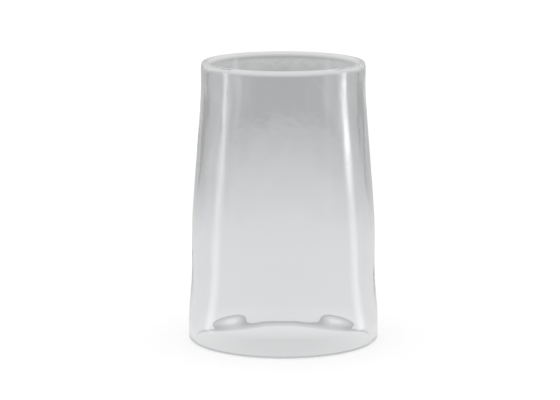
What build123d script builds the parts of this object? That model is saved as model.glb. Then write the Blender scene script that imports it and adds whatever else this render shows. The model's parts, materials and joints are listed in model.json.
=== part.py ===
from build123d import *
from math import radians, tan
import os

# A moulded clear glass guitar slide: one tapered tube, open at both ends, worn on a finger.
# It stands on its wide foot. The origin is the middle of the foot, and +Z runs up the bore
# to the fire-polished lip at the narrow end. Lengths are in millimetres.

# Overall
length = 42.0            # from the foot's flat ring to the top of the lip

# Narrow end, where the fingertip shows
neck_bore = 22.0         # inside diameter, the finger size that the slide is sold by
neck_wall = 1.15         # glass thickness at the narrowest place
neck_length = 3.7        # from the narrowest place up to the top of the lip
lip_proud = 0.08         # how far the fire-polished lip stands out past the neck
land_length = 5.5        # straight stretch of bore that grips the fingertip, from the lip's top

# Body, the part that touches the strings
body_diameter = 27.46    # outside diameter below the shoulder
body_wall = 1.3          # glass thickness of the body
body_height = 18.3       # where the body ends and the long taper starts

# Foot, the wide end that the finger enters
foot_diameter = 28.5     # outside diameter of the foot band
foot_wall = 1.15         # glass thickness of the foot band
foot_height = 4.1        # height of the foot band outside
foot_rise = 5.3          # height over which the body spreads out to the foot band
bell_height = 2.0        # height of the widest stretch of the bore
bell_rise = 4.2          # height over which the bore opens out to that stretch

# Blends, so that no corner shows or catches
neck_blend = 25.0        # radius between the taper and the neck
land_blend = 25.0        # radius between the tapered bore and its straight stretch
shoulder_blend = 125.0   # radius between the body and the taper
foot_blend = 17.0        # radius at each end of the foot's outside spread
bell_blend = 14.0        # radius at each end of the bore's spread
heel_round = 0.45        # rounding of the foot's outer edge
mouth_round = 0.4        # rounding of the foot's inner edge
blend_share = 0.45       # most of a straight run that the blend at one end of it may use up

# Radii and heights that follow from the sizes above
neck_bore_radius = neck_bore / 2
neck_radius = neck_bore_radius + neck_wall
neck_height = length - neck_length
land_height = length - land_length
lip_radius = neck_radius + lip_proud
lip_round = (lip_radius - neck_bore_radius) / 2
lip_height = length - lip_round
body_radius = body_diameter / 2
body_bore_radius = body_radius - body_wall
foot_radius = foot_diameter / 2
foot_bore_radius = foot_radius - foot_wall
foot_middle_radius = foot_radius - foot_wall / 2


def blended_line(corners):
    """A line through (radius, height, blend) corners, with each blend kept within its own runs."""
    points = [Vector(radius, 0, height) for radius, height, blend in corners]
    runs = [after - before for before, after in zip(points, points[1:])]
    room = [blend_share * run.length for run in runs]
    room[0] *= 2   # the first and last runs hold one blend each, not two
    room[-1] *= 2
    blends = []
    for number, (_, _, blend) in enumerate(corners[1:-1]):
        half_turn = radians(runs[number].get_angle(runs[number + 1])) / 2
        blends.append(min(blend, min(room[number], room[number + 1]) / tan(half_turn)))
    return FilletPolyline(*points, radius=blends)


def glass_section():
    """Half of the wall, cut along the axis: outside line up, round lip over, bore line down."""
    outside = blended_line([
        (foot_middle_radius, 0, None),
        (foot_radius, 0, heel_round),
        (foot_radius, foot_height, foot_blend),
        (body_radius, foot_height + foot_rise, foot_blend),
        (body_radius, body_height, shoulder_blend),
        (neck_radius, neck_height, neck_blend),
        (lip_radius, lip_height, None),
    ])
    bore = blended_line([
        (neck_bore_radius, lip_height, None),
        (neck_bore_radius, land_height, land_blend),
        (body_bore_radius, body_height, shoulder_blend),
        (body_bore_radius, bell_height + bell_rise, bell_blend),
        (foot_bore_radius, bell_height, bell_blend),
        (foot_bore_radius, 0, mouth_round),
        (foot_middle_radius, 0, None),
    ])
    lip = ThreePointArc(
        (lip_radius, 0, lip_height),
        (lip_radius - lip_round, 0, length),
        (neck_bore_radius, 0, lip_height),
    )
    return make_face([outside, lip, bore])


def glass_slide():
    """The slide's whole wall, the section turned once round the axis."""
    return revolve(glass_section(), axis=Axis.Z)


os.makedirs("parts", exist_ok=True)
slide = glass_slide()
export_step(slide, "parts/glass_slide.step")
print("glass_slide", round(slide.volume, 1), "mm3", slide.bounding_box().size)
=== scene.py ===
# %% [markdown]
# # A clear glass guitar slide
#
# A slide is a short glass tube that a guitarist wears on one finger and runs along the strings.
# This one is a single moulded piece: a tall body that narrows to a collar with a rounded lip at
# the top, and widens to a slightly flared foot, open at both ends. It has no second piece, no
# joint and no mark on it.
#
# The lesson dresses a finished CAD model of the slide. The CAD model holds the real sizes, and
# everything made here is in metres in the same frame, standing on z = 0 with the hole upright.
# It could be dressed by giving the CAD mesh a glass material, and for an opaque object that would
# do. Glass shows both of its surfaces at once and bends what is behind them, so here the wall is
# turned again as a much finer mesh, the glass is given a material, and then the table and the
# light that the glass shows are built round it.

# %% Load the frame
import bpy
import json
from math import copysign, cos, exp, log, pi, radians, sin
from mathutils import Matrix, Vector, noise

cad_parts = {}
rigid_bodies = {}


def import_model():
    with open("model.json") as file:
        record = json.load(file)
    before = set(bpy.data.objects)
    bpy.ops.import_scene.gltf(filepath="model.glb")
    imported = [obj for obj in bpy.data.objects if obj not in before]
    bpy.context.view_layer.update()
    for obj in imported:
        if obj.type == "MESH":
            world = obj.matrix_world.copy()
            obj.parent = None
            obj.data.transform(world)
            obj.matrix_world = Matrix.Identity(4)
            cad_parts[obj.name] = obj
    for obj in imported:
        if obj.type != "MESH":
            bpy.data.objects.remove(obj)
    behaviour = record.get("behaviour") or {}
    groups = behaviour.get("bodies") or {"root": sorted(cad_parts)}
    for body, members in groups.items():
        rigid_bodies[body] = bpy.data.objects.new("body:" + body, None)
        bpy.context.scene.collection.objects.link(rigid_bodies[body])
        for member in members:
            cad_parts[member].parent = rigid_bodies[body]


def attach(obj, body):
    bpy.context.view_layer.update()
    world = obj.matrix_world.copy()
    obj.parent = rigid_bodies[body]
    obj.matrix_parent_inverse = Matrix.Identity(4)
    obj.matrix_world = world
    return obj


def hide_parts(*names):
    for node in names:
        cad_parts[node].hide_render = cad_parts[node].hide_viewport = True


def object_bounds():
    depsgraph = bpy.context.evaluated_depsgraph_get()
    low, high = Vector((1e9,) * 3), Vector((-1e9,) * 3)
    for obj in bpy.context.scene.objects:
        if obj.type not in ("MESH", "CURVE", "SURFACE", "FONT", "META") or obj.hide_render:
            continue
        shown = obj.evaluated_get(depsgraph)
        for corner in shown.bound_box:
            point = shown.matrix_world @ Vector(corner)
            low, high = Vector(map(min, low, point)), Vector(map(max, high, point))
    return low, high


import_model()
MM = 0.001
cad_low, cad_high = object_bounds()
print("CAD box, mm:", [round(side / MM, 2) for side in cad_high - cad_low])

# %% [markdown]
# ## The outside of the wall
#
# Seen from the side, the real wall has a nearly upright foot, a short slope up to the body, a long
# straight body, a shoulder that leans in gently, and a collar that is almost straight. Moulded
# glass has no sharp corner anywhere: each straight run flows into the next.
#
# Such a line could be drawn as a curve with handles, or as a few points smoothed by a subdivision
# modifier. Both make it hard to say where a bend ends. A formula is easier to read and to measure:
# start from a straight line, and at each height where the slope changes add a soft bend. The
# function below is 0 well under the corner and grows evenly well above it, and the softness says
# how long it takes to turn. Past `STRAIGHT` times the softness the line is straight to the last
# digit, so the formula is left out there.

# %% A soft bend
STRAIGHT = 30


def bend(reach, softness):
    """0 well before a corner and the reach past it well after, turning smoothly between."""
    share = reach / softness
    if abs(share) > STRAIGHT:
        return max(reach, 0.0)
    return softness * log(1 + exp(share))


for reach in (-3, 0, 3):
    turned = bend(reach * MM, 0.8 * MM) / MM
    print("bend of", reach, "mm at a softness of 0.8 mm:", round(turned, 3), "mm")

# %% [markdown]
# The sizes are those of the CAD model. The foot's radius and the full length are read from its
# box, so the mesh can't come out larger than the part. The rest are written as plain millimetres
# from the axis and from the table.

# %% Sizes of the outside
length = cad_high.z
foot_radius = min(cad_high.x, cad_high.y)
body_radius = 13.73 * MM
collar_radius = 12.15 * MM
lip_radius = 12.23 * MM
foot_height = 4.1 * MM
foot_top = 9.4 * MM
body_height = 18.3 * MM
collar_height = 37.9 * MM
lip_tall = 1.2 * MM
lip_height = length - lip_tall
foot_softness = 0.8 * MM
shoulder_softness = 1.6 * MM
collar_softness = 0.9 * MM
print("length, mm:", round(length / MM, 2), " foot across, mm:", round(2 * foot_radius / MM, 2))

# %% [markdown]
# Each line of the sum below is one corner, from the table up: the foot leans in, the lean stops at
# the body, the shoulder leans in again, and the collar turns back to almost upright.

# %% The outside line
def outside_radius(height):
    """How far the outside of the wall is from the axis at a height."""
    foot_slope = (foot_radius - body_radius) / (foot_top - foot_height)
    shoulder_slope = (body_radius - collar_radius) / (collar_height - body_height)
    lip_slope = (lip_radius - collar_radius) / (lip_height - collar_height)
    return (
        foot_radius
        - foot_slope * bend(height - foot_height, foot_softness)
        + foot_slope * bend(height - foot_top, foot_softness)
        - shoulder_slope * bend(height - body_height, shoulder_softness)
        + (shoulder_slope + lip_slope) * bend(height - collar_height, collar_softness)
    )


for height in (1, 12, 28, 39):
    across = 2 * outside_radius(height * MM)
    print("outside at", height, "mm up:", round(across / MM, 2), "mm across")

# %% [markdown]
# ## The hole for the finger
#
# The hole follows the outside: tight in the collar, where the finger is held, wider in the body,
# and belled out toward the mouth at the foot. Near the mouth the wall isn't even all the way round.
# The bell reaches higher at the front and the back than at the sides, as a mould that opens from
# two sides may leave it. Through the glass this is what draws the wavy line just above the foot,
# with a raised part at each end.
#
# An uneven hole could be made by scaling a ring of points by hand in a viewport. Here the height of
# the bell is a function of the turn round the axis, so it can be changed with one number. `sway` is
# 1 at the front and back and -1 at the sides, and the last term is a soft step between the two.

# %% How high the bell reaches
FRONT = -pi / 2
bell_height = 3.747 * MM
bell_sway = 1.511 * MM
bell_step = 0.937 * MM
step_steepness = 10
step_place = 0.6


def bell_reach(angle):
    """The height at which the bell starts to open, at a turn round the axis."""
    sway = cos(2 * (angle - FRONT))
    step = bell_step / (1 + exp(step_steepness * (step_place - sway)))
    return bell_height + bell_sway * sway + step


for name, angle in (("front", FRONT), ("halfway", FRONT + pi / 4), ("side", FRONT + pi / 2)):
    print("bell at the", name, "reaches", round(bell_reach(angle) / MM, 2), "mm")

# %% [markdown]
# From the mouth up, the hole's line has a thin wall at the very edge, the bell, a long weak flare,
# the body, a cone in step with the shoulder, and the land under the lip, where the wall is as
# thick as the finger needs. The same soft bends join them.

# %% Sizes of the hole
land_radius = 11.0 * MM
mouth_wall = 1.18 * MM
bell_slope = 0.15
bell_base = 2.6 * MM
bell_base_softness = 0.4 * MM
bell_softness = 0.7 * MM
softness_reach = 6.043 * MM
flare_slope = 0.05
flare_height = 9.065 * MM
flare_softness = 0.453 * MM
land_slope = 0.03
print("hole at the land, mm:", 2 * land_radius / MM, " wall at the mouth, mm:", mouth_wall / MM)

# %% [markdown]
# The bell and the flare open downward, so their bends count down from a height. `above_base` stops
# that count near the mouth, which leaves a short even ring of glass at the very edge. A higher bell
# is also a softer one, as hot glass is when it has further to flow. `bell_softness` is the softness
# of a bell that reaches to `softness_reach`.

# %% The hole's line
def hole_radius(height, angle):
    """How far the inside of the wall is from the axis, at a height and a turn round the axis."""
    reach = bell_reach(angle)
    softness = bell_softness * (reach / softness_reach) ** 2
    above_base = bell_base + bend(height - bell_base, bell_base_softness)
    bell_rise = bell_slope * (reach - bell_base)
    flare_rise = flare_slope * (flare_height - bell_base)
    body_hole = foot_radius - mouth_wall - bell_rise - flare_rise
    cone_slope = (body_hole - land_radius) / (collar_height - body_height)
    return (
        body_hole
        - cone_slope * bend(height - body_height, shoulder_softness)
        + (cone_slope + land_slope) * bend(height - collar_height, collar_softness)
        + bell_slope * bend(reach - above_base, softness)
        + flare_slope * bend(flare_height - above_base, flare_softness)
    )


for height in (1, 12, 28, 40):
    wall = outside_radius(height * MM) - hole_radius(height * MM, FRONT)
    print("wall at", height, "mm up, at the front:", round(wall / MM, 2), "mm thick")

# %% [markdown]
# ## The unevenness of moulded glass
#
# A moulded wall is never quite true. It swells and thins by a few hundredths of a millimetre, in
# long upright waves left by the mould. Nobody sees this as shape, but it makes a reflection waver,
# and without it the streaks of light on the glass look drawn with a ruler.
#
# A displacement modifier with a cloud texture would do the same. Noise asked for at each point is
# used instead, because it can be stretched along the height and faded out at the foot and the lip,
# where the edges are true. It isn't random: the same place always gives the same value. The seed
# moves to another part of the noise, so the hole doesn't copy the outside.

# %% Swells in the wall
swell_depth = 0.02 * MM
swell_across = 1.7 * MM
swell_along = 5.0 * MM
swell_rise = 9.4 * MM
swell_fall = 2.0 * MM
outside_seed, hole_seed = 0, 9


def swell(height, angle, seed):
    """How far the wall stands out of true at a place, fading to none at the foot and the lip."""
    above_foot = min(1, max(0, (height - foot_height) / swell_rise))
    under_lip = min(1, max(0, (lip_height - height) / swell_fall))
    around = body_radius / swell_across
    spot = Vector((around * cos(angle), around * sin(angle), height / swell_along + seed))
    return swell_depth * above_foot * under_lip * noise.noise(spot)


swells = [swell(25 * MM, radians(turn), outside_seed) / MM for turn in range(360)]
print("swell round the middle, mm:", round(min(swells), 4), "to", round(max(swells), 4))

# %% [markdown]
# ## The rounded edges
#
# The foot stands on a narrow ring, and both of its edges are fire-polished round so that they don't
# chip. A bevel modifier could round them after the wall is turned. In a section it is as easy to
# place the round's points first: the heights up a quarter circle, and how far the edge is cut back
# at each of them, and then even steps up the wall.

# %% Heights up the wall
heel_round = 0.45 * MM
mouth_round = 0.4 * MM
round_steps = 8
height_step = 0.36 * MM


def rising(round_size):
    """Heights up a rounded edge and then the wall, and how far the edge is cut back at each."""
    edge = [round_size * (1 - cos(pi / 2 * number / round_steps)) for number in range(round_steps)]
    back = [round_size * (1 - sin(pi / 2 * number / round_steps)) for number in range(round_steps)]
    count = round((lip_height - round_size) / height_step)
    wall = [round_size + (lip_height - round_size) * number / count for number in range(count + 1)]
    return list(zip(edge + wall, back + [0.0] * len(wall)))


print("heights up the outside:", len(rising(heel_round)), " up the hole:", len(rising(mouth_round)))

# %% [markdown]
# The lip is one soft bead over the top of the wall. It is a little taller than it is thick, because
# the glass was drawn up before it was melted round. Half of an ellipse gives that with no corner
# where it meets the two sides of the wall. Raising the sine and cosine to a power just under 1
# presses the ellipse slightly square, as fire leaves it: flatter on top, and upright longer. This
# bead catches light from all round and shows as a pale ring, so it gets many points for its size.

# %% The lip
lip_steps = 28
lip_squareness = 0.7


def lip_over(outer, inner):
    """The lip's points, from the outside of the wall over the top to the hole."""
    middle, half = (outer + inner) / 2, (outer - inner) / 2
    points = []
    for number in range(1, lip_steps):
        turn = pi * number / lip_steps
        across = copysign(abs(cos(turn)) ** lip_squareness, cos(turn))
        points.append((middle + half * across, lip_height + lip_tall * sin(turn) ** lip_squareness))
    return points


lip = lip_over(lip_radius, land_radius)
print("lip:", len(lip), "points, top at", round(max(height for _, height in lip) / MM, 2), "mm")

# %% [markdown]
# ## One section of the wall
#
# A section is the closed loop that a saw would leave if it cut the wall upright: up the outside,
# over the lip, down the hole, and across the ring that the slide stands on. The loop is closed so
# that the mesh encloses glass. Light is bent only right where a surface has glass on one side and
# air on the other.

# %% The section at a turn
def section_at(angle):
    """The closed loop of (radius, height) points of the wall at a turn round the axis."""
    outside = [
        (outside_radius(height) - cut + swell(height, angle, outside_seed), height)
        for height, cut in rising(heel_round)
    ]
    hole = [
        (hole_radius(height, angle) + cut + swell(height, angle, hole_seed), height)
        for height, cut in rising(mouth_round)
    ]
    standing_ring = ((outside[0][0] + hole[0][0]) / 2, 0.0)
    return outside + lip_over(outside[-1][0], hole[-1][0]) + hole[::-1] + [standing_ring]


print("points in a section:", len(section_at(FRONT)))

# %% [markdown]
# ## Turning the wall
#
# A curve with a Screw modifier turns one section about the axis, and for an even wall that is the
# shortest way. This wall's section changes as it turns, so a section is worked out at every degree
# and joined to the next one by four-sided faces. The last section joins back to the first, which
# leaves no seam. Smooth shading then lets the light see one continuous surface.

# %% Turn the wall
turns = 360


def turned_wall(name):
    """A closed mesh: the section's loop of points at each turn, joined to the next."""
    points, faces = [], []
    for turn in range(turns):
        angle = 2 * pi * turn / turns
        loop = section_at(angle)
        points += [(radius * cos(angle), radius * sin(angle), height) for radius, height in loop]
    count = len(loop)
    for turn in range(turns):
        here, there = turn * count, (turn + 1) % turns * count
        for low in range(count):
            high = (low + 1) % count
            faces.append((here + low, there + low, there + high, here + high))
    mesh = bpy.data.meshes.new(name)
    mesh.from_pydata(points, [], faces)
    mesh.shade_smooth()
    piece = bpy.data.objects.new(name, mesh)
    bpy.context.scene.collection.objects.link(piece)
    return piece


slide = turned_wall("clear_glass_tube")
print("wall:", len(slide.data.vertices), "points,", len(slide.data.polygons), "faces")

# %% [markdown]
# The new mesh takes the CAD solid's place. It stands for the node `glass_slide`, rides on the one
# body that the slide has, and takes its finish from the `clear_glass` slot.

# %% Join it to the frame
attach(slide, "root")
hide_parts("glass_slide")
print("pieces on the body:", slide.name)

# %% [markdown]
# ## Clear glass
#
# The slide is ordinary clear glass. It lets nearly all light through and bends it by the usual
# amount for glass, an index of refraction of 1.5. Its surface is polished by fire, so the roughness
# is 0, and the faint cool tint adds up where the light runs a long way inside the wall.
#
# A Glass shader alone would look the same. The Principled shader is used because its numbers are
# named. Each number is the same all over, so it is set on the shader's own socket.

# %% The glass
glass_tint = (0.97, 0.975, 0.985, 1)
glass_index = 1.5
glass = bpy.data.materials.new("clear_glass")
glass.use_nodes = True
glass_shader = glass.node_tree.nodes["Principled BSDF"]
glass_shader.inputs["Base Color"].default_value = glass_tint
glass_shader.inputs["Roughness"].default_value = 0.0
glass_shader.inputs["IOR"].default_value = glass_index
glass_shader.inputs["Transmission Weight"].default_value = 1.0
slide.data.materials.append(glass)
print("glass: index", glass_index, " tint", glass_tint[:3])

# %% [markdown]
# Toward the collar the surface is also pitted very finely, as glass that cools early against a
# mould may be. It breaks the edges of the streaks there, and it fades out by the middle of the
# body. Dimples of about a millimetre would need a mesh several times as fine, so they are a bump in
# the material: a noise of the place on the object, weakened downward until there is none.

# %% Fine dimples near the collar
dimple_size = 1.1 * MM
dimple_depth = 0.01 * MM
dimples_from, dimples_full = 20 * MM, 32 * MM


def smooth_step(nodes, links, value, start, end):
    """A node's value that rises smoothly from 0 to 1 while another goes from start to end."""
    step = nodes.new("ShaderNodeMapRange")
    step.interpolation_type = "SMOOTHSTEP"
    step.inputs["From Min"].default_value = start
    step.inputs["From Max"].default_value = end
    links.new(value, step.inputs["Value"])
    return step.outputs["Result"]


def product(nodes, links, first, second):
    """Two node values multiplied."""
    times = nodes.new("ShaderNodeMath")
    times.operation = "MULTIPLY"
    links.new(first, times.inputs[0])
    links.new(second, times.inputs[1])
    return times.outputs[0]


print("dimples of", dimple_size / MM, "mm, full from", dimples_full / MM, "mm up")

# %% [markdown]
# The bump's distance is in metres, like everything else, so the dimples have a real depth.

# %% Bump the glass
nodes, links = glass.node_tree.nodes, glass.node_tree.links
on_glass = nodes.new("ShaderNodeTexCoord")
along_glass = nodes.new("ShaderNodeSeparateXYZ")
links.new(on_glass.outputs["Object"], along_glass.inputs["Vector"])
dimples = nodes.new("ShaderNodeTexNoise")
dimples.inputs["Scale"].default_value = 1 / dimple_size
dimples.inputs["Detail"].default_value = 1.0
links.new(on_glass.outputs["Object"], dimples.inputs["Vector"])
rise = smooth_step(nodes, links, along_glass.outputs["Z"], dimples_from, dimples_full)
bump = nodes.new("ShaderNodeBump")
bump.inputs["Strength"].default_value = 1.0
bump.inputs["Distance"].default_value = dimple_depth
links.new(product(nodes, links, dimples.outputs["Fac"], rise), bump.inputs["Height"])
links.new(bump.outputs["Normal"], glass_shader.inputs["Normal"])
print("bump depth, mm:", round(bump.inputs["Distance"].default_value / MM, 4))

# %% [markdown]
# ## Camera
#
# The camera stands in front of the slide, a little above the lip, and looks slightly down, so that
# the lip shows as a thin oval. It is far away for such a small object, as a product camera with a
# long lens would be, which keeps the sides nearly parallel. The lens is worked out from the width
# that should be seen at the slide, and two small shifts place the slide in the frame.

# %% Place the camera
seen_width = 83.93 * MM
distance = 382.2 * MM
look_down = radians(10.45)
aim = Vector((0, 0, 21.23 * MM))
sensor_width = 36
shift_across, shift_up = -0.0059, -0.0025
nearest, farthest = 0.01, 20
camera_data = bpy.data.cameras.new("camera")
camera = bpy.data.objects.new("camera", camera_data)
bpy.context.scene.collection.objects.link(camera)
camera.location = aim + distance * Vector((0, -cos(look_down), sin(look_down)))
camera.rotation_euler = (aim - camera.location).to_track_quat("-Z", "Y").to_euler()
camera_data.sensor_width = sensor_width
camera_data.lens = sensor_width * distance / seen_width
camera_data.shift_x, camera_data.shift_y = shift_across, shift_up
camera_data.clip_start, camera_data.clip_end = nearest, farthest
bpy.context.scene.camera = camera
print("lens, mm:", round(camera_data.lens, 1))
print("camera height, mm:", round(camera.location.z / MM, 1))

# %% [markdown]
# ## The light that the glass shows
#
# Clear glass has no colour of its own. Each point of it shows some part of the room, bent through
# two or four surfaces. Its greys are the greys of the table and the walls round it. A glass is
# made to look good by arranging these, not by aiming lamps at it.
#
# The tones here are written as screen levels from 0, black, to 255, white, because those are easy
# to judge by eye. Light itself isn't counted that way, so a level is first turned into the amount
# of light that shows as it, by the usual curve of a screen. The plain Standard view keeps that
# relation.

# %% Levels and light
def linear(level):
    """A screen level from 0 to 255 as the amount of light that gives it."""
    share = level / 255
    return share / 12.92 if share <= 0.04045 else ((share + 0.055) / 1.055) ** 2.4


def grey(level):
    """The colour that shows as a screen level."""
    return (linear(level), linear(level), linear(level), 1)


bpy.context.scene.view_settings.view_transform = "Standard"
for level in (128, 192, 255):
    print("light for level", level, "is", round(linear(level), 3))

# %% [markdown]
# A colour ramp holds a list of tones, each at its place. The helper fills a ramp from (place,
# level) pairs, so that each list can be read and changed at a glance.

# %% Fill a colour ramp
def set_tones(ramp, tones, position_of):
    """Puts (place, level) tones on a colour ramp, each at position_of(place)."""
    stops = ramp.color_ramp.elements
    while len(stops) < len(tones):
        stops.new(0.5)
    for stop, (place, level) in zip(stops, tones):
        stop.position = position_of(place)
        stop.color = grey(level)
    print("ramp of", len(stops), "tones, from", tones[0][1], "to", tones[-1][1])


# %% [markdown]
# The table looks plain white to the eye, while the glass needs a table with painted tones of light
# and shade. Both are had by asking what kind of ray has arrived: a ray straight from the camera
# gets one shader, and light that has met the glass gets the other. The Light Path node tells them
# apart.

# %% One shader for the eye, another for the glass
def camera_or_not(nodes, links, for_camera, for_glass, output):
    """Shows one shader to the camera's own rays, and another to light that has met the glass."""
    path = nodes.new("ShaderNodeLightPath")
    choice = nodes.new("ShaderNodeMixShader")
    links.new(path.outputs["Is Camera Ray"], choice.inputs["Fac"])
    links.new(for_glass, choice.inputs[1])
    links.new(for_camera, choice.inputs[2])
    links.new(choice.outputs["Shader"], output.inputs["Surface"])
    print("two shaders joined at", output.name)


# %% [markdown]
# ## The room
#
# Round the table is a light room, like the inside of a white tent: greyest at the level of the
# table and lighter overhead. An image of a real room would give this too, but a ramp over the
# upward part of the direction is smaller, and each of its tones can be read. The places in its list
# are degrees above the table. To the eye the room is plain white.

# %% Sky
sky_tones = [(0, 178), (6, 184), (12, 197), (25, 214), (90, 222)]
world = bpy.data.worlds.new("studio")
bpy.context.scene.world = world
world.use_nodes = True
nodes, links = world.node_tree.nodes, world.node_tree.links
room_light = nodes["Background"]
direction = nodes.new("ShaderNodeTexCoord")
upward = nodes.new("ShaderNodeSeparateXYZ")
links.new(direction.outputs["Generated"], upward.inputs["Vector"])
sky = nodes.new("ShaderNodeValToRGB")
links.new(upward.outputs["Z"], sky.inputs["Fac"])
set_tones(sky, sky_tones, lambda angle: sin(radians(angle)))
links.new(sky.outputs["Color"], room_light.inputs["Color"])
white_wall = nodes.new("ShaderNodeBackground")
white_wall.inputs["Color"].default_value = (1, 1, 1, 1)
camera_or_not(
    nodes, links, white_wall.outputs["Background"], room_light.outputs["Background"],
    nodes["World Output"],
)

# %% [markdown]
# ## The table
#
# The slide stands on a wide sheet of white paper. It lies a hair under z = 0, so that the glass and
# the paper never share a surface.

# %% The sheet of paper
sheet_reach = 3.0
sheet_gap = 0.02 * MM
corners = [
    (x * sheet_reach, y * sheet_reach, 0) for x, y in ((-1, -1), (1, -1), (1, 1), (-1, 1))
]
table_mesh = bpy.data.meshes.new("table")
table_mesh.from_pydata(corners, [], [(0, 1, 2, 3)])
table = bpy.data.objects.new("table", table_mesh)
table.location.z = -sheet_gap
bpy.context.scene.collection.objects.link(table)
print("table:", 2 * sheet_reach, "m square")

# %% [markdown]
# To the eye the paper is white, with only a faint shade where the slide stands. Part of its white
# is its own light, which keeps it clean right to the edge of the frame.

# %% White paper
paper_grey = 0.6
paper_glow = 0.63
# This material also holds the painted light and shade that only the glass sees, built further down.
paper = bpy.data.materials.new("white_paper_with_painted_tones")
paper.use_nodes = True
table_mesh.materials.append(paper)
paper_shader = paper.node_tree.nodes["Principled BSDF"]
paper_shader.inputs["Base Color"].default_value = (paper_grey, paper_grey, paper_grey, 1)
paper_shader.inputs["Roughness"].default_value = 1.0
paper_shader.inputs["Specular IOR Level"].default_value = 0.0
paper_shader.inputs["Emission Color"].default_value = (1, 1, 1, 1)
paper_shader.inputs["Emission Strength"].default_value = paper_glow
print("paper: grey", paper_grey, " glow", paper_glow)

# %% [markdown]
# What the glass shows of the table is mostly a long strip behind it. Low on the slide the eye looks
# through to paper close by, and high on the slide to paper far away, so tones that change with
# distance turn into tones up the glass. These tones are painted light and shade, not light that
# falls on the paper: a painted shade right under the slide, painted light on the near paper round
# it, and a painted falloff to a mid grey on far paper, where the light would fall off, which gives
# the upper half of the slide its grey. The places in these lists are millimetres from the slide, up
# to `ramp_reach`. The lists share their near part.

# %% Tones of the paper by distance
# Painted tones: painted shade under the slide, painted light round it, painted falloff far away.
painted_near_tones = [(5, 213), (18, 231), (25, 224), (90, 221)]
painted_middle_tones = painted_near_tones + [
    (150, 201), (187, 187), (215, 172), (280, 174), (335, 194), (400, 202),
]
painted_side_tones = painted_near_tones + [(150, 204), (215, 191), (285, 189), (400, 202)]
ramp_reach = 400
print("paper tones:", len(painted_middle_tones), "behind the slide,", len(painted_side_tones), "to its sides")

# %% [markdown]
# The distance for the painted tones is counted from a point just in front of the axis. One ramp is
# for the strip straight behind and in front of the slide, and a lighter one, of painted light, for
# the paper on either side of it.

# %% Read the distance
counted_from = (0, -4 * MM, 0)
nodes, links = paper.node_tree.nodes, paper.node_tree.links
on_paper = nodes.new("ShaderNodeNewGeometry")
away = nodes.new("ShaderNodeVectorMath")
away.operation = "DISTANCE"
away.inputs[1].default_value = counted_from
links.new(on_paper.outputs["Position"], away.inputs[0])
ramp_place = nodes.new("ShaderNodeMapRange")
ramp_place.inputs["From Max"].default_value = ramp_reach * MM
links.new(away.outputs["Value"], ramp_place.inputs["Value"])
behind, beside = nodes.new("ShaderNodeValToRGB"), nodes.new("ShaderNodeValToRGB")
for ramp, tones in ((behind, painted_middle_tones), (beside, painted_side_tones)):
    links.new(ramp_place.outputs["Result"], ramp.inputs["Fac"])
    set_tones(ramp, tones, lambda millimetres: millimetres / ramp_reach)

# %% [markdown]
# Far off to the left and right, behind the slide, the paper gets a painted shade, darker again, as
# if it ran out beyond the light. Only the very edges of the glass bend the view that far, so this
# painted shade draws the thin dark line inside each edge of the upper body that makes clear glass
# stand out from white.

# %% Sides and far corners
side_from, side_full = 8 * MM, 38 * MM
corner_out, corner_out_full = 135 * MM, 180 * MM
corner_back, corner_back_full = 130 * MM, 190 * MM
paper_place = nodes.new("ShaderNodeSeparateXYZ")
links.new(on_paper.outputs["Position"], paper_place.inputs["Vector"])
off_middle = nodes.new("ShaderNodeMath")
off_middle.operation = "ABSOLUTE"
links.new(paper_place.outputs["X"], off_middle.inputs[0])
to_side = smooth_step(nodes, links, off_middle.outputs[0], side_from, side_full)
# Where the painted shade of the far corners lies.
painted_shade_in_corners = product(
    nodes, links,
    smooth_step(nodes, links, off_middle.outputs[0], corner_out, corner_out_full),
    smooth_step(nodes, links, paper_place.outputs["Y"], corner_back, corner_back_full),
)
print("dark corners from", corner_out / MM, "mm out and", corner_back / MM, "mm back")

# %% [markdown]
# The painted tones and the painted corner shade are laid over each other in turn and sent to an
# Emission shader, so that they are the same whatever the light does.

# %% The table as the glass sees it
# The grey of the painted shade in the far corners, seen only in the glass.
corner_painted_shade = 168
without_corners, toned = nodes.new("ShaderNodeMixRGB"), nodes.new("ShaderNodeMixRGB")
links.new(to_side, without_corners.inputs["Fac"])
links.new(behind.outputs["Color"], without_corners.inputs["Color1"])
links.new(beside.outputs["Color"], without_corners.inputs["Color2"])
links.new(painted_shade_in_corners, toned.inputs["Fac"])
links.new(without_corners.outputs["Color"], toned.inputs["Color1"])
toned.inputs["Color2"].default_value = grey(corner_painted_shade)
seen_in_glass = nodes.new("ShaderNodeEmission")
links.new(toned.outputs["Color"], seen_in_glass.inputs["Color"])
camera_or_not(
    nodes, links, paper_shader.outputs["BSDF"], seen_in_glass.outputs["Emission"],
    nodes["Material Output"],
)

# %% [markdown]
# ## Two strips of light
#
# The bright upright streaks on the slide are reflections of two tall soft lights, one at each side.
# A curved wall squeezes a wide light into a thin streak, and the streak sits where the wall's slope
# points at the light. The slide widens toward the foot, so its streaks lean outward, and a light
# that stands upright would make them fade out halfway down. These strips start close to the foot
# and slope up and away, so that every height of the wall finds some of the strip.
#
# Area lamps would light the scene, but they can't be bent or shaded along their length. A strip
# here is a narrow mesh that glows: a row of points across, repeated up the slope. It starts at
# `strip_narrowest` of its width and widens with height.

# %% The strip's slope
strip_near, strip_far, strip_rise = 25 * MM, 75 * MM, 45 * MM
strip_width = 17 * MM
strip_narrowest = 0.55
strip_across, strip_along = 10, 36


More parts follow.
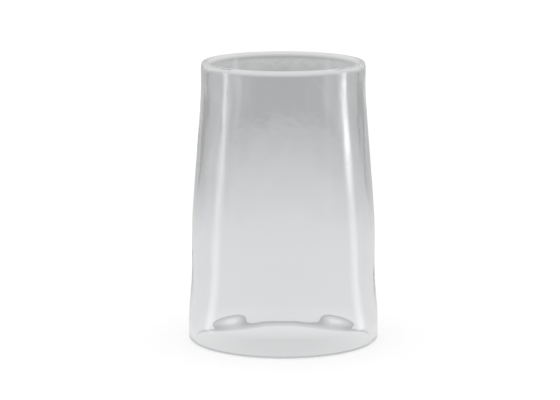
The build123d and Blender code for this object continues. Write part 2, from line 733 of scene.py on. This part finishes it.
def strip_rows(turn_low, turn_high):
    """The strip's points, row by row, as it turns from one side angle to another going up."""
    points = []
    for step in range(strip_along + 1):
        share = step / strip_along
        turn = radians(turn_low + (turn_high - turn_low) * share)
        out, across = Vector((sin(turn), -cos(turn), 0)), Vector((cos(turn), sin(turn), 0))
        middle = out * (strip_near + (strip_far - strip_near) * share)
        middle.z = strip_rise * share
        width = strip_width * min(1, strip_narrowest + share)
        points += [
            middle + across * width * (number / strip_across - 0.5)
            for number in range(strip_across + 1)
        ]
    return points


print("points in a strip:", len(strip_rows(turn_low=90, turn_high=90)))

# %% [markdown]
# The strength of each strip changes along it, which makes the streak strong in the upper half and
# faint toward the foot. Across, it fades to nothing at both edges, which keeps the streak soft.
# Both are stored as a colour on the strip's points.

# %% The strip's glow
def between(pairs, place):
    """The value at a place, read off a short list of (place, value) pairs."""
    for (start, first), (end, second) in zip(pairs, pairs[1:]):
        if place <= end:
            return first + (second - first) * (place - start) / (end - start)
    return pairs[-1][1]


def paint_glow(mesh, strengths):
    """Stores the strip's strength on each point, fading to none across its edges."""
    row = strip_across + 1
    glow = mesh.color_attributes.new("glow", "FLOAT_COLOR", "POINT")
    for number in range(row * (strip_along + 1)):
        off = abs(number % row / strip_across - 0.5) * 2
        level = (0.5 + 0.5 * cos(pi * off)) * between(strengths, number // row / strip_along)
        glow.data[number].color = (level, level, level, 1)


print("halfway between 2 and 6:", between([(0, 2), (1, 6)], 0.5))

# %% [markdown]
# The strip is there only for its reflection on the outside. Light that has already passed through
# the wall would show it a second time, bent, and crowd the glass with streaks, so the strip is
# dimmed for such light. That is a liberty of this studio, not something that glass does. The strip
# is also see-through from everywhere, so it hides nothing.

# %% The strip's light
through_glass = 0.15


def strip_light(name):
    """A glow taken from the points' colours, dimmed for light that has passed through glass."""
    material = bpy.data.materials.new(name)
    material.use_nodes = True
    nodes, links = material.node_tree.nodes, material.node_tree.links
    nodes.remove(nodes["Principled BSDF"])
    painted, path = nodes.new("ShaderNodeVertexColor"), nodes.new("ShaderNodeLightPath")
    painted.layer_name = "glow"
    dimmed = nodes.new("ShaderNodeMapRange")
    dimmed.inputs["To Min"].default_value = 1.0
    dimmed.inputs["To Max"].default_value = through_glass
    links.new(path.outputs["Transmission Depth"], dimmed.inputs["Value"])
    light, clear = nodes.new("ShaderNodeEmission"), nodes.new("ShaderNodeBsdfTransparent")
    both = nodes.new("ShaderNodeAddShader")
    links.new(painted.outputs["Color"], light.inputs["Color"])
    links.new(dimmed.outputs["Result"], light.inputs["Strength"])
    links.new(light.outputs["Emission"], both.inputs[0])
    links.new(clear.outputs["BSDF"], both.inputs[1])
    links.new(both.outputs["Shader"], nodes["Material Output"].inputs["Surface"])
    return material


print("share of a strip seen through glass:", through_glass)

# %% [markdown]
# A strip is stage, not part of the slide. It is hidden from the eye and from the paper, so neither
# the frame nor the table shows it: only the gloss of the glass does.

# %% Make a strip
def strip(name, turn_low, turn_high, strengths):
    """A sloping strip of light, from near the foot up and outward, seen only in the glass."""
    row = strip_across + 1
    faces = [
        (start, start + 1, start + row + 1, start + row)
        for step in range(strip_along)
        for start in range(step * row, step * row + strip_across)
    ]
    mesh = bpy.data.meshes.new(name)
    mesh.from_pydata(strip_rows(turn_low, turn_high), [], faces)
    paint_glow(mesh, strengths)
    mesh.materials.append(strip_light(name))
    panel = bpy.data.objects.new(name, mesh)
    bpy.context.scene.collection.objects.link(panel)
    panel.visible_camera = panel.visible_diffuse = panel.visible_shadow = False
    print(name, "faces:", len(mesh.polygons))


# %% [markdown]
# The right strip is the main light, with its strongest part seen in the middle of the body. The
# left one is weaker and more even. The places in the two lists run from 0 at the foot of the strip
# to 1 at its top. The turns are degrees round from the front, at the foot of the strip and at its
# top, and they set how near the edge of the slide each streak runs.

# %% Both strips
right_glow = [(0, 1.8), (0.3, 1.7), (0.45, 2.6), (0.56, 6.0), (0.65, 11.0), (0.74, 6.0), (1, 5.0)]
left_glow = [(0, 1.8), (0.3, 1.7), (0.5, 2.5), (0.66, 3.8), (0.72, 4.6), (1, 4.6)]
right_turns = (82, 87)
left_turns = (-76.5, -81)
strip("right_strip", *right_turns, right_glow)
strip("left_strip", *left_turns, left_glow)

# %% [markdown]
# ## How often light may turn
#
# Light that enters the lip can bounce inside the bead dozens of times before it leaves. Blender
# stops following it after a set number of turns and counts it as black. With the usual limits the
# lip turns into a dark ring, so the limits are raised until it stays as pale as real glass.

# %% Bounces
bounce_limit = 128
cycles = bpy.context.scene.cycles
cycles.max_bounces = cycles.glossy_bounces = cycles.transmission_bounces = bounce_limit
print("bounces allowed:", bounce_limit)
